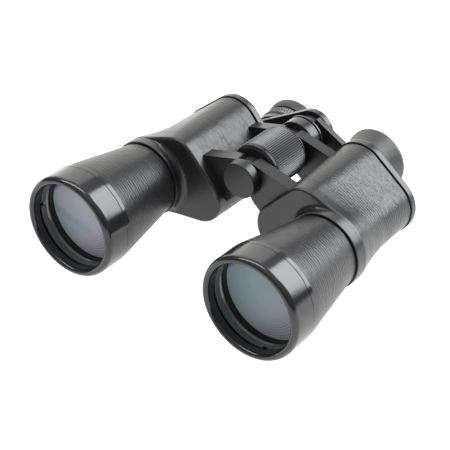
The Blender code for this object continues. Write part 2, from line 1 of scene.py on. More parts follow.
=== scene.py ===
"""Looks for the Porro-prism binoculars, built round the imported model's frame.

+X is the user's left, the objectives face -Y and +Z is up. Lengths are millimetres here and become
metres in the helpers. A station is a distance along Y from the front rims, and a height is above
the surface that the binoculars stand on.
"""
import json
import math

import bmesh
import bpy
from mathutils import Matrix, Quaternion, Vector

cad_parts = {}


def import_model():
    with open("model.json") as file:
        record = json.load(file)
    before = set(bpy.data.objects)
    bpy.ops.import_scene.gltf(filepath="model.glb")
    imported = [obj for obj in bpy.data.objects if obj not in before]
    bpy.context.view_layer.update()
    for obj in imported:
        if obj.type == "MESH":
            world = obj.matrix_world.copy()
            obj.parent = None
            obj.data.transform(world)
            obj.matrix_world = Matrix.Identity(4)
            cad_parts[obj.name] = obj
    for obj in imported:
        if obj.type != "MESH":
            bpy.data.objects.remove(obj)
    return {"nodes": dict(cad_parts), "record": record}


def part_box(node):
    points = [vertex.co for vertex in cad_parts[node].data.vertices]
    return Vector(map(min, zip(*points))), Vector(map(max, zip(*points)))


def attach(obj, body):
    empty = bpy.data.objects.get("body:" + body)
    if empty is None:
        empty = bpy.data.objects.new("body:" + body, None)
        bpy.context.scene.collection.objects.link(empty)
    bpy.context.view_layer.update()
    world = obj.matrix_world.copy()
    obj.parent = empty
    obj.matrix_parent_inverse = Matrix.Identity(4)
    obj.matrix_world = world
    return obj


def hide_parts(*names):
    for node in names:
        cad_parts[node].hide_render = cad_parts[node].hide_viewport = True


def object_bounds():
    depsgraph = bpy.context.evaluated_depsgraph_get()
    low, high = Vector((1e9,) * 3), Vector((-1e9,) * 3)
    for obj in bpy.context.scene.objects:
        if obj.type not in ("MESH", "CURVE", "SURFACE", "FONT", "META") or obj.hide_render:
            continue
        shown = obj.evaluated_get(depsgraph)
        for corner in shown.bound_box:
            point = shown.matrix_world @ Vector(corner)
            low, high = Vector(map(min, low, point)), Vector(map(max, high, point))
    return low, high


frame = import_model()
CAD_LOW, CAD_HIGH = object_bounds()

MM = 0.001
GAP = 0.3                   # the clearance that the solids keep
FOLD_ROOM = 13.5            # floor below the rims: at its lower limit the fold swings one half down
SIDES = {"left": 1.0, "right": -1.0}
FINE = 144                  # segments of a large turned piece
ARC_STEPS = 5               # points of a rounded corner
SHARP = math.radians(38)    # edges above this angle are shaded as edges
CREASE = math.radians(32)   # edges above this angle are rounded by soften()
FLAT = math.radians(0.1)    # faces within this angle are merged first
WELD = 2e-6                 # metres between points that count as one
POLE_R = 1e-6               # a smaller ring is a single point


# Places, read from the solids

def stations_of(node):
    """Front and rear station of a solid."""
    low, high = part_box(node)
    return (low.y - CAD_LOW.y) / MM, (high.y - CAD_LOW.y) / MM


def axis_of(node):
    """X and height of a turned solid's axis."""
    low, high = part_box(node)
    return (low.x + high.x) / 2 / MM, (low.z + high.z) / 2 / MM


def radius_of(node):
    low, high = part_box(node)
    return (high.x - low.x) / 2 / MM


OBJECTIVE_X, OBJECTIVE_Z = axis_of("left_objective_ring")
EYE_X, EYE_Z = axis_of("left_ocular_tube")
HINGE_Z = axis_of("hinge_cap")[1]
MID_X = (OBJECTIVE_X + EYE_X) / 2 - (OBJECTIVE_Z - EYE_Z) / 2
MID_Z = (OBJECTIVE_Z + EYE_Z) / 2 + (OBJECTIVE_X - EYE_X) / 2
RING_REAR = stations_of("left_objective_ring")[1]
WRAP = stations_of("left_barrel_covering")
COLLAR_FRONT, HOUSING_REAR = stations_of("left_housing")
SLEEVE = stations_of("left_housing_covering")
COVER = stations_of("left_rear_cover")
LENS_R = radius_of("left_objective_lens")
SEAM = RING_REAR - 0.6      # joint between the objective ring and the barrel's smooth band
WRAP_EDGE = WRAP[0] - 2.7   # the covering's feathered front edge
NECK_R = 20.95              # barrel radius where it meets the housing's collar
COLLAR_R = 22.1             # the housing's round collar
NECK_BORE_R = 17.3          # hole through the collar for the barrel's spigot
EYE_HOLE_R = 13.9           # hole in the rear cover for the guide tube

# Housing sections: station, then radii about the eyepiece, middle and objective axes
SECTIONS = [
    (72.1, 15.8, 13.9, 22.12),
    (86.0, 15.9, 14.7, 19.0),
    (98.0, 16.0, 15.2, 17.3),
    (HOUSING_REAR, 16.2, 16.0, 16.7),
]
FACE = 70.4                 # front wall of the housing
COVERING = 0.8
FILLET = 3.2                # between the front wall and the collar
HOUSING_DROP = 0.7          # the housing's eyepiece end sits this far below the eyepiece axis
WAIST = [row[0] for row in SECTIONS[1:3]]
WALL = 1.3                  # of the housing under its covering
SCREW_SEAT = 126.6          # bottom of the recess for a cover screw's head


def world(x, station, height):
    return Vector((x * MM, CAD_LOW.y + station * MM, height * MM))


# Mesh helpers

def rounded(corners, steps=ARC_STEPS):
    """Points of a closed outline from its corners: (u, v), or (u, v, fillet radius)."""
    points = []
    for i, (u, v, *fillet) in enumerate(corners):
        if not fillet:
            points.append((u, v))
            continue
        here = Vector((u, v))
        before = Vector(corners[i - 1][:2]) - here
        after = Vector(corners[(i + 1) % len(corners)][:2]) - here
        half = before.angle(after) / 2
        reach = min(fillet[0] / math.tan(half), 0.49 * before.length, 0.49 * after.length)
        first = here + before.normalized() * reach
        last = here + after.normalized() * reach
        centre = here + (before.normalized() + after.normalized()).normalized() * reach / math.cos(half)
        start, end = first - centre, last - centre
        turn = start.angle_signed(end)
        for k in range(steps + 1):
            spot = centre + Matrix.Rotation(-turn * k / steps, 2) @ start
            points.append((spot.x, spot.y))
    return points


def smooth_line(points, steps=4):
    """A Catmull-Rom line through an open row of (u, v) points."""
    ends = [points[0]] + points + [points[-1]]
    line = []
    for a, b, c, d in zip(ends, ends[1:], ends[2:], ends[3:]):
        for k in range(steps):
            t = k / steps
            weights = (
                -0.5 * t + t * t - 0.5 * t ** 3, 1.0 - 2.5 * t * t + 1.5 * t ** 3,
                0.5 * t + 2.0 * t * t - 1.5 * t ** 3, -0.5 * t * t + 0.5 * t ** 3,
            )
            line.append(tuple(sum(w * p[n] for w, p in zip(weights, (a, b, c, d))) for n in (0, 1)))
    return line + [points[-1]]


def arc(x, z, radius, start_deg, end_deg, steps):
    """Points of an arc about (x, z)."""
    angles = [math.radians(start_deg + (end_deg - start_deg) * k / steps) for k in range(steps + 1)]
    return [(x + radius * math.cos(a), z + radius * math.sin(a)) for a in angles]


def quarter(steps):
    """1 - cos and 1 - sin over a quarter turn: the first grows from 0 to 1 as the second shrinks."""
    angles = [math.pi / 2 * k / steps for k in range(steps + 1)]
    return [(1.0 - math.cos(a), 1.0 - math.sin(a)) for a in angles]


def make_object(name, bm, origin=Vector((0.0, 0.0, 0.0))):
    """A smooth-shaded object from a bmesh in metres about origin."""
    bmesh.ops.recalc_face_normals(bm, faces=bm.faces)
    mesh = bpy.data.meshes.new(name)
    bm.to_mesh(mesh)
    bm.free()
    mesh.shade_smooth()
    mesh.set_sharp_from_angle(angle=SHARP)
    made = bpy.data.objects.new(name, mesh)
    bpy.context.collection.objects.link(made)
    made.location = origin
    return made


def piece(made, finish, body, *nodes):
    """Give a finished object its material and its body, and let it stand for the named solids."""
    made.data.materials.clear()
    made.data.materials.append(FINISHES[finish])
    weighted = made.modifiers.new("face_weighted_normals", "WEIGHTED_NORMAL")
    weighted.keep_sharp = True
    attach(made, body)
    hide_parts(*nodes)


def turned(name, axis, profile, segments=FINE, ripple=None):
    """Turn a closed (radius, station) profile about a line along Y, with an optional rib function."""
    bm = bmesh.new()
    rings = []
    for radius, station in profile:
        if radius < POLE_R:
            rings.append([bm.verts.new((0.0, station * MM, 0.0))])
            continue
        ring = []
        for k in range(segments):
            angle = math.tau * k / segments
            r = ripple(radius, station, angle) if ripple else radius
            ring.append(bm.verts.new((r * math.cos(angle) * MM, station * MM, r * math.sin(angle) * MM)))
        rings.append(ring)
    for first, second in zip(rings, rings[1:] + rings[:1]):
        bridge(bm, first, second)
    return make_object(name, bm, world(axis[0], 0.0, axis[1]))


def turned_piece(node, axis, corners, finish, body, segments=FINE):
    """A turned piece that stands for the solid of its name."""
    piece(turned(node, axis, rounded(corners), segments), finish, body, node)


def bridge(bm, first, second):
    """Quads, or a fan at a pole, between two neighbouring rings."""
    if len(first) == len(second) == 1:
        return
    for k in range(max(len(first), len(second))):
        n = k + 1
        corners = [ring[i % len(ring)] for ring, i in ((first, k), (first, n), (second, n), (second, k))]
        bm.faces.new(list(dict.fromkeys(corners)))


def loft(name, rings, origin_x=0.0):
    """Join closed rings of (x, station, height) points. The last ring closes on the first."""
    bm = bmesh.new()
    made = []
    for ring in rings:
        made.append([bm.verts.new(((x - origin_x) * MM, s * MM, z * MM)) for x, s, z in ring])
    for first, second in zip(made, made[1:] + made[:1]):
        bridge(bm, first, second)
    return make_object(name, bm, world(origin_x, 0.0, 0.0))


def prism(name, *rings):
    """A solid between two outlines of (x, station, height) points."""
    bm = bmesh.new()
    first, second = ([bm.verts.new((x * MM, s * MM, z * MM)) for x, s, z in ring] for ring in rings)
    bm.faces.new(first)
    bm.faces.new(second)
    bridge(bm, first, second)
    return make_object(name, bm, world(0.0, 0.0, 0.0))


def plate(name, outline, stations):
    """Extrude an (x, height) outline along Y between two stations."""
    return prism(name, *([(x, s, z) for x, z in outline] for s in stations))


def side_plate(name, outline, x_range):
    """Extrude a (station, height) outline along X."""
    return prism(name, *([(x, s, z) for s, z in outline] for x in x_range))


def cut(target, cutter):
    """Take the cutter out of the target with an exact Boolean, and remove the cutter."""
    step = target.modifiers.new("step", "BOOLEAN")
    step.operation = "DIFFERENCE"
    step.object = cutter
    step.solver = "EXACT"
    bpy.context.view_layer.update()
    graph = bpy.context.evaluated_depsgraph_get()
    mesh = bpy.data.meshes.new_from_object(target.evaluated_get(graph))
    target.modifiers.remove(step)
    target.data = mesh
    bpy.data.objects.remove(cutter, do_unlink=True)


def soften(target, width, steps=3):
    """Round every sharp edge of a finished solid."""
    bm = bmesh.new()
    bm.from_mesh(target.data)
    bmesh.ops.remove_doubles(bm, verts=bm.verts, dist=WELD)
    bmesh.ops.dissolve_limit(bm, verts=bm.verts, edges=bm.edges, angle_limit=FLAT)
    sharp = [e for e in bm.edges if len(e.link_faces) == 2 and e.calc_face_angle() > CREASE]
    bmesh.ops.bevel(
        bm, geom=sharp, offset=width * MM, offset_type="OFFSET", segments=steps, profile=0.5,
        affect="EDGES", clamp_overlap=True,
    )
    bm.to_mesh(target.data)
    bm.free()
    target.data.shade_smooth()
    target.data.set_sharp_from_angle(angle=SHARP)


def cylinder_cut(target, axis, radius, stations, segments=64):
    """Drill along Y between two stations."""
    front, rear = stations
    profile = [(0.0, front), (radius, front), (radius, rear), (0.0, rear)]
    cut(target, turned("drill", axis, profile, segments))


def slot_cut(target, half_width, half_height, stations, turn_deg, about):
    """Cut a box, centred on a line along Y and turned about it."""
    w, h = half_width, half_height
    turn = Matrix.Rotation(math.radians(turn_deg), 2)
    spots = [turn @ Vector(p) + Vector(about) for p in ((-w, -h), (w, -h), (w, h), (-w, h))]
    cut(target, plate("slot", [(p.x, p.y) for p in spots], stations))


# Node helpers for the materials

class Finish:
    """A Principled material under construction, in object coordinates."""

    def __init__(self, name, colour, roughness, metallic=0.0, **sockets):
        self.material = bpy.data.materials.new(name)
        self.material.use_nodes = True
        self.tree = self.material.node_tree
        self.shader = self.tree.nodes["Principled BSDF"]
        self.shader.inputs["Base Color"].default_value = (*colour, 1.0)
        self.shader.inputs["Roughness"].default_value = roughness
        self.shader.inputs["Metallic"].default_value = metallic
        for key, value in sockets.items():
            self.shader.inputs[key.replace("_", " ")].default_value = value
        self.coords = self.node("ShaderNodeTexCoord").outputs["Object"]

    def feed(self, socket, value):
        """Give a socket a value, or a link."""
        if isinstance(value, bpy.types.NodeSocket):
            self.tree.links.new(value, socket)
        else:
            socket.default_value = value

    def node(self, kind, settings=None, **inputs):
        made = self.tree.nodes.new(kind)
        for key, value in (settings or {}).items():
            setattr(made, key, value)
        for key, value in inputs.items():
            self.feed(made.inputs[key.replace("_", " ")], value)
        return made

    def stretched(self, scale, source=None):
        return self.node("ShaderNodeMapping", Vector=source or self.coords, Scale=scale).outputs["Vector"]

    def noise(self, scale, detail=3.0, roughness=0.5, vector=None):
        return self.node(
            "ShaderNodeTexNoise", Vector=vector or self.coords, Scale=scale, Detail=detail,
            Roughness=roughness,
        ).outputs["Fac"]

    def wandering(self, pitch, reach):
        """Object coordinates pushed about by up to reach millimetres."""
        source = self.node("ShaderNodeTexNoise", Vector=self.coords, Scale=per_mm(pitch), Detail=2.0)
        kind = "ShaderNodeVectorMath"
        centred = self.math("SUBTRACT", source.outputs["Color"], (0.5, 0.5, 0.5), kind)
        return self.math("ADD", self.coords, self.math("MULTIPLY", centred, (reach * MM,) * 3, kind), kind)

    def math(self, operation, first, second=0.0, kind="ShaderNodeMath"):
        made = self.node(kind, {"operation": operation})
        self.feed(made.inputs[0], first)
        self.feed(made.inputs[1], second)
        return made.outputs[0]

    def spread(self, value, low, high, from_low=0.0, from_high=1.0):
        """Map a value from one range onto another, clamped."""
        made = self.node(
            "ShaderNodeMapRange", Value=value, From_Min=from_low, From_Max=from_high, To_Min=low, To_Max=high,
        )
        return made.outputs["Result"]

    def mix(self, factor, first, second):
        """A colour between two colours, either of which can be a socket."""
        made = self.node("ShaderNodeMix", {"data_type": "RGBA"})
        self.feed(made.inputs["Factor"], factor)
        sockets = [s for s in made.inputs if s.type == "RGBA"]
        for socket, colour in zip(sockets, (first, second)):
            self.feed(socket, colour if isinstance(colour, bpy.types.NodeSocket) else (*colour, 1.0))
        return [s for s in made.outputs if s.type == "RGBA"][0]

    def shade(self, factor, dark, light):
        """Base colour between two colours."""
        colour = self.mix(factor, dark, light)
        self.feed(self.shader.inputs["Base Color"], colour)
        return colour

    def rough(self, value):
        self.feed(self.shader.inputs["Roughness"], value)

    def bump(self, height, distance, onto=None):
        """Add relief of a real height in millimetres, and return its normal for further relief."""
        made = self.node("ShaderNodeBump", Height=height, Distance=distance * MM)
        if onto is not None:
            self.feed(made.inputs["Normal"], onto)
        self.feed(self.shader.inputs["Normal"], made.outputs["Normal"])
        return made.outputs["Normal"]


def per_mm(pitch):
    """Texture scale, in repeats per metre, for a pitch in millimetres."""
    return 1000.0 / pitch


def wave_scale(pitch):
    """Scale of a wave texture, which repeats 20 / tau times a unit, for a pitch in millimetres."""
    return math.tau / (20.0 * pitch * MM)


def gloss_enamel(name="gloss_enamel"):
    """Hard black gloss: a faint orange peel and a little dust in its roughness."""
    made = Finish(name, (0.012, 0.012, 0.013), 0.14)
    made.shade(made.noise(per_mm(9.0)), (0.010, 0.010, 0.011), (0.016, 0.016, 0.018))
    made.rough(made.spread(made.noise(per_mm(1.4), 4.0, 0.6), 0.11, 0.18))
    made.bump(made.noise(per_mm(2.2), 2.0), 0.010)
    return made.material


def satin_enamel():
    """Semi-gloss paint on a casting: fine spray grain and slow waviness."""
    made = Finish("satin_enamel", (0.012, 0.012, 0.013), 0.32)
    made.shade(made.noise(per_mm(14.0), 3.0), (0.009, 0.009, 0.010), (0.014, 0.014, 0.015))
    made.rough(made.spread(made.noise(per_mm(3.0), 4.0, 0.6), 0.27, 0.37))
    wave = made.bump(made.noise(per_mm(12.0), 2.0), 0.04)
    made.bump(made.noise(per_mm(0.28), 3.0, 0.6), 0.008, onto=wave)
    return made.material


def leatherette(name, fade_from, fade_to, gloss):
    """Black vinyl with wrinkles that run round the tube and fade out near its front edge."""
    made = Finish(name, (0.012, 0.012, 0.013), 0.36, Specular_IOR_Level=gloss)
    bent = made.wandering(3.6, 2.1)
    wrinkles = made.node(
        "ShaderNodeTexWave", {"wave_type": "BANDS", "bands_direction": "Y"},
        Vector=bent, Scale=wave_scale(1.7),
    ).outputs["Fac"]
    patches = made.noise(per_mm(4.0), 1.0, vector=made.stretched((1.0, 1.6, 1.0)))
    broken = made.spread(patches, 0.22, 0.42, 0.35, 0.65)
    folds = made.noise(per_mm(3.6), 1.0, 0.4, vector=made.stretched((1.0, 3.0, 1.0), bent))
    relief = made.math("ADD", made.math("MULTIPLY", wrinkles, broken), made.math("MULTIPLY", folds, 0.7))
    along = made.node("ShaderNodeSeparateXYZ", Vector=made.coords).outputs["Y"]
    fade = made.spread(along, 0.0, 1.0, fade_from * MM, fade_to * MM)
    made.bump(made.math("MULTIPLY", relief, fade), 0.21)
    # The colour is a little darker in the hollows of the wrinkles: painted shade in the creases.
    made.shade(made.spread(relief, 0.0, 1.0, 0.3, 0.9), (0.009, 0.009, 0.010), (0.014, 0.014, 0.015))
    made.rough(made.spread(made.noise(per_mm(2.0), 4.0, 0.6), 0.31, 0.42))
    return made.material


def rubber():
    """Grey-black moulded rubber with a fine grain."""
    made = Finish("moulded_rubber", (0.036, 0.036, 0.036), 0.44)
    made.shade(made.noise(per_mm(6.0), 5.0, 0.6), (0.030, 0.030, 0.030), (0.044, 0.044, 0.043))
    made.rough(made.spread(made.noise(per_mm(1.5), 4.0, 0.6), 0.38, 0.50))
    made.bump(made.noise(per_mm(0.35), 3.0, 0.6), 0.02)
    return made.material


def turned_metal(name, dark, light, roughness, metallic, pitch):
    """Lathe-turned metal: fine rings across the axis and slow variation in the finish."""
    made = Finish(name, light, roughness, metallic)
    made.shade(made.noise(per_mm(5.0), 3.0), dark, light)
    rings = made.noise(1.0, 2.0, 0.5, vector=made.stretched((60.0, per_mm(pitch), 60.0)))
    made.rough(made.spread(rings, roughness - 0.07, roughness + 0.09, 0.3, 0.7))
    made.bump(rings, 0.006)
    return made.material


def ribbed_metal(name, count):
    """Dark anodising with a painted highlight on the crests of the ribs and painted shade in their grooves;
    the ribs stand at even angles round Y.
    """
    made = Finish(name, (0.05, 0.05, 0.052), 0.34, 0.2)
    parts = made.node("ShaderNodeSeparateXYZ", Vector=made.coords).outputs
    turn = made.math("MULTIPLY", made.math("ARCTAN2", parts["Z"], parts["X"]), float(count))
    # Pale crests and near-black grooves are a painted highlight and painted shade, made a little uneven by
    # noise.
    crest = made.math("MULTIPLY", made.math("COSINE", turn), -1.0)
    painted_crest_light = made.math("ADD", crest, made.spread(made.noise(per_mm(2.5), 3.0), -0.3, 0.3))
    made.shade(made.spread(painted_crest_light, 0.0, 1.0, -0.5, 0.9), (0.004, 0.004, 0.004), (0.075, 0.075, 0.078))
    made.rough(made.spread(made.noise(per_mm(0.9), 3.0), 0.28, 0.40))
    return made.material


def painted_glow_lens(name, cool, lilac, painted_streak_level, painted_upper_level):
    """A multi-coated front lens with a painted glow, as of light behind it, and painted reflections: a cool
    tint to lilac, a blue edge and faint arcs.

    The fourth argument sets the strength of the painted blue streak, the fifth that of the painted lilac in
    the upper half.
    """
    # The lens glows in its own tint: painted light, standing in for light coming through the lens.
    made = Finish(name, cool, 0.05, Specular_IOR_Level=0.05, Emission_Strength=0.38)
    parts = made.node("ShaderNodeSeparateXYZ", Vector=made.coords).outputs
    across = made.math("SUBTRACT", parts["X"], parts["Z"])
    tilted = made.math("ADD", parts["Z"], made.math("MULTIPLY", parts["X"], 0.2))
    # Painted reflection: the tint turns lilac over the upper part and across the face.
    above = made.spread(tilted, 0.0, painted_upper_level, -0.008, -0.003)
    painted_bloom = made.math("MAXIMUM", above, made.spread(across, 0.0, 1.0, -0.012, 0.024))
    tint = made.shade(painted_bloom, cool, lilac)
    # Painted reflection: a dark blue streak across the lens, fading out towards one side.
    off_painted_streak = made.math("ABSOLUTE", made.math("ADD", tilted, 0.0085))
    fading = made.spread(parts["X"], 1.0, 0.0, -0.010, 0.012)
    painted_streak = made.math("MULTIPLY", made.spread(off_painted_streak, painted_streak_level, 0.0, 0.0, 0.0035), fading)
    tint = made.mix(painted_streak, tint, (0.13, 0.17, 0.26))
    # Painted reflection: faint off-centre rings, shown on one side only.
    off_centre = made.node("ShaderNodeMapping", Vector=made.coords, Location=(0.004, 0.0, -0.004))
    painted_arcs = made.node(
        "ShaderNodeTexWave", {"wave_type": "RINGS", "rings_direction": "Y"},
        Vector=off_centre.outputs["Vector"], Scale=wave_scale(1.6), Distortion=0.6,
    ).outputs["Fac"]
    shown = made.math("MULTIPLY", made.spread(across, 0.0, 0.5, 0.012, 0.024), painted_arcs)
    tint = made.mix(shown, tint, (0.09, 0.10, 0.13))
    # Painted reflection: a blue rim along one edge.
    tint = made.mix(made.spread(across, 0.0, 1.0, -0.029, -0.033), tint, (0.02, 0.05, 0.18))
    # The same painted colour is both the base colour and the glow.
    for socket in ("Base Color", "Emission Color"):
        made.feed(made.shader.inputs[socket], tint)
    made.rough(made.spread(made.noise(per_mm(8.0)), 0.03, 0.07))
    return made.material


def eye_glass():
    """The dark, green-violet gloss of a small coated lens."""
    made = Finish("eye_lens_glass", (0.03, 0.04, 0.05), 0.04, Coat_Weight=0.5, Coat_Roughness=0.02)
    made.shade(made.noise(per_mm(12.0), 1.0), (0.020, 0.045, 0.040), (0.045, 0.030, 0.055))
    made.rough(made.spread(made.noise(per_mm(6.0)), 0.03, 0.06))
    return made.material


def prism_glass():
    """Clear glass with ground faces."""
    made = Finish("ground_prism_glass", (0.80, 0.86, 0.85), 0.06, Transmission_Weight=0.9, IOR=1.57)
    made.shade(made.noise(per_mm(20.0)), (0.76, 0.83, 0.82), (0.84, 0.89, 0.88))
    made.rough(made.spread(made.noise(per_mm(4.0)), 0.04, 0.10))
    return made.material


WHEEL_RIBS = 76
DIOPTRE_RIBS = 60
POINTS_PER_RIB = 10

FINISHES = {
    "gloss_black": gloss_enamel(),
    "barrel_gloss": gloss_enamel("barrel_enamel"),
    "satin_black": satin_enamel(),
    "barrel_leather": leatherette("barrel_leatherette", WRAP_EDGE, WRAP_EDGE + 3.0, 0.4),
    "housing_leather": leatherette("housing_leatherette", SLEEVE[0], SLEEVE[0] + 4.5, 0.5),
    "rubber": rubber(),
    "anodised": turned_metal("black_anodised", (0.020, 0.020, 0.021), (0.034, 0.034, 0.037), 0.25, 0.4, 0.18),
    "steel": turned_metal("turned_steel", (0.22, 0.22, 0.23), (0.30, 0.30, 0.31), 0.40, 1.0, 0.15),
    "brass": turned_metal("turned_brass", (0.52, 0.38, 0.16), (0.64, 0.48, 0.22), 0.34, 1.0, 0.2),
    "dioptre_grip": turned_metal("dioptre_grip", (0.06, 0.06, 0.061), (0.085, 0.085, 0.087), 0.36, 0.2, 0.3),
    "wheel_grip": ribbed_metal("wheel_grip", WHEEL_RIBS),
    # Each lens has its own painted glow and painted reflections, set to the light that lens catches.
    "lilac_lens": painted_glow_lens("lilac_lens_painted_glow", (0.19, 0.25, 0.27), (0.27, 0.25, 0.30), 0.45, 0.7),
    "coated_lens": painted_glow_lens("cool_lens_painted_glow", (0.15, 0.21, 0.215), (0.21, 0.21, 0.24), 0.1, 0.2),
    "eye_lens": eye_glass(),
    "lens_cell": turned_metal(
        "lens_cell_black", (0.115, 0.118, 0.112), (0.15, 0.154, 0.146), 0.22, 0.4, 0.25,
    ),
    "prism_glass": prism_glass(),
}


# Objective end

def lip(outer_r, inner_r, front, outer_depth, inner_depth, steps=12):
    """The rolled front edge of a ring, from its outer shoulder to its inner one."""
    crest = (outer_r + inner_r) / 2 - 0.3
    points = []
    for k in range(2 * steps + 1):
        angle = math.pi / 2 * k / steps
        reach, depth = (outer_r - crest, outer_depth) if k <= steps else (crest - inner_r, inner_depth)
        points.append((crest + reach * math.cos(angle), front + depth * (1.0 - math.sin(angle))))
    return points


def objective_ring(label, axis, body):
    """The glossy front ring with its rolled lip."""
    node = f"{label}_objective_ring"
    r = radius_of(node)
    inner_r, inner_rear, thread_rear = r - 4.2, 6.2, 8.6
    lip_front, outer_depth, inner_depth = 0.8, 3.3, 2.2
    profile = [(r - 0.8, SEAM), (r - 0.15, SEAM), (r, SEAM - 0.15)]
    profile += lip(r, inner_r, lip_front, outer_depth, inner_depth)
    profile += [(inner_r, inner_rear), (inner_r + 0.3, inner_rear + 0.2), (r - 1.5, inner_rear + 0.3)]
    profile += [(r - 1.5, thread_rear), (r - 0.8, thread_rear)]
    turned_piece(node, axis, profile, "gloss_black", body, 180)


def barrel(label, axis, body):
    """Inner tube of the objective end: its band shows in front of the covering, its neck behind."""
    front_r = radius_of(f"{label}_barrel_covering")
    skin = COVERING + GAP
    front, mouth_r, rim_r = 9.0, 26.7, 28.0
    seat_r, seat_front, seat_rear = 25.7, 19.3, 25.8
    cone_r, cone_front = 24.2, 27.0
    spigot_r, spigot_bore, spigot_front, spigot_rear = 17.0, 15.4, COLLAR_FRONT - 0.4, 72.5
    corners = [
        (mouth_r, front), (rim_r, front), (rim_r, SEAM + 0.2), (front_r + 0.05, SEAM + 0.2, 0.2),
        (front_r, WRAP_EDGE), (front_r - skin, WRAP_EDGE), (NECK_R - skin, WRAP[1]),
        (NECK_R - skin, spigot_front), (spigot_r, spigot_front), (spigot_r, spigot_rear),
        (spigot_bore, spigot_rear), (cone_r, cone_front), (cone_r, seat_rear), (seat_r, seat_rear),
        (seat_r, seat_front), (mouth_r, seat_front),
    ]
    node = f"{label}_barrel"
    turned_piece(node, axis, corners, "barrel_gloss", body, 180)


def barrel_covering(label, axis, body):
    """Leatherette round the barrel, up to a hairline gap at the collar."""
    node = f"{label}_barrel_covering"
    front_r = radius_of(node)
    rear, steps = WRAP[1] + 1.6, 24
    taper, length = NECK_R - front_r, rear - WRAP_EDGE
    outside = [(front_r + taper * k / steps, WRAP_EDGE + length * k / steps) for k in range(steps)]
    profile = [(front_r - COVERING, WRAP_EDGE), *outside]
    profile += [(NECK_R, rear, 0.35), (NECK_R - COVERING, rear)]
    turned_piece(node, axis, profile, "barrel_leather", body, 180)


def objective_lens(label, side, axis, body):
    """A front lens with a domed face. The two lenses catch the light differently."""
    node = f"{label}_objective_lens"
    rear = stations_of(node)[1]
    front, sag, rings = 15.4, 2.2, 16
    dome = [(LENS_R * k / rings, front + sag * (k / rings) ** 2) for k in range(rings + 1)]
    profile = dome + [(LENS_R, rear), (LENS_R * 0.5, rear - 0.6), (0.0, rear - 0.8)]
    turned_piece(node, axis, profile, "lilac_lens" if side < 0 else "coated_lens", body)


def retaining_ring(label, side, axis, body):
    """Threaded ring in front of the lens, with a bevelled seat and two slots for its key."""
    node = f"{label}_retaining_ring"
    front, rear = stations_of(node)
    thread_r, undercut_r, seat_r = 26.5, 26.1, 25.0
    corners = [
        (25.3, front + 0.3, 0.15), (thread_r, front + 0.3, 0.15), (thread_r, rear),
        (undercut_r, rear), (undercut_r, 13.2), (seat_r, 12.9, 0.15), (25.9, 11.8, 0.15),
        (25.5, 11.7),
    ]
    made = turned(node, axis, rounded(corners), 180)
    slot_turn = 177.0 if side < 0 else -78.0
    slot_cut(made, 28.0, 1.2, (front - 1.0, front + 2.2), slot_turn, axis)
    piece(made, "lens_cell", body, node)


def lens_ring(label, axis, body):
    """Spacer behind the front lens."""
    node = f"{label}_lens_ring"
    front, rear = stations_of(node)
    corners = [(25.9, front), (26.3, front), (26.3, rear), (25.5, rear, 0.3)]
    turned_piece(node, axis, corners, "satin_black", body)


# Prism housing

def hull(circles, arc_points, line_points):
    """Points and normals of the taut band round three (x, z, radius) circles in anticlockwise order."""
    count = len(circles)
    tangents = []
    for i in range(count):
        (x0, z0, r0), (x1, z1, r1) = circles[i], circles[(i + 1) % count]
        heading = math.atan2(z1 - z0, x1 - x0)
        lean = math.acos((r0 - r1) / math.hypot(x1 - x0, z1 - z0))
        tangents.append(heading - lean)
    points = []
    for i, (x, z, r) in enumerate(circles):
        start, end = tangents[i - 1], tangents[i]
        while end < start:
            end += math.tau
        for k in range(arc_points[i] + 1):
            a = start + (end - start) * k / arc_points[i]
            points.append((x + r * math.cos(a), z + r * math.sin(a), math.cos(a), math.sin(a)))
        next_x, next_z, next_r = circles[(i + 1) % count]
        nx, nz = math.cos(end), math.sin(end)
        for k in range(1, line_points[i]):
            t = k / line_points[i]
            radius = r + (next_r - r) * t
            points.append((x + (next_x - x) * t + radius * nx, z + (next_z - z) * t + radius * nz, nx, nz))
    return points


def housing_radii(station):
    """Radii about the three axes, between the listed sections."""
    for first, second in zip(SECTIONS, SECTIONS[1:]):
        if station <= second[0]:
            break
    along = (station - first[0]) / (second[0] - first[0])
    return [a + (b - a) * along for a, b in zip(first[1:], second[1:])]


def section(station, delta=0.0):
    """The left housing's outline at a station, grown by delta."""
    r_eye, r_mid, r_obj = housing_radii(station)
    circles = [
        (EYE_X, EYE_Z - HOUSING_DROP, r_eye + delta), (OBJECTIVE_X, OBJECTIVE_Z, r_obj + delta),
        (MID_X, MID_Z, r_mid + delta),
    ]
    return hull(circles, (44, 56, 30), (30, 16, 18))


def ring_at(side, station, delta=0.0):
    """The outline of a side's housing, flat at a station."""
    return [(side * x, station, z) for x, z, _, _ in section(station, delta)]


def circle_like(side, axis_x, axis_z, radius, station, outline):
    """A circle with one point for each point of an outline, in the same direction from the axis."""
    ring = []
    for x, z, _, _ in outline:
        away = Vector((x - axis_x, z - axis_z)).normalized() * radius
        ring.append((side * (axis_x + away.x), station, axis_z + away.y))
    return ring


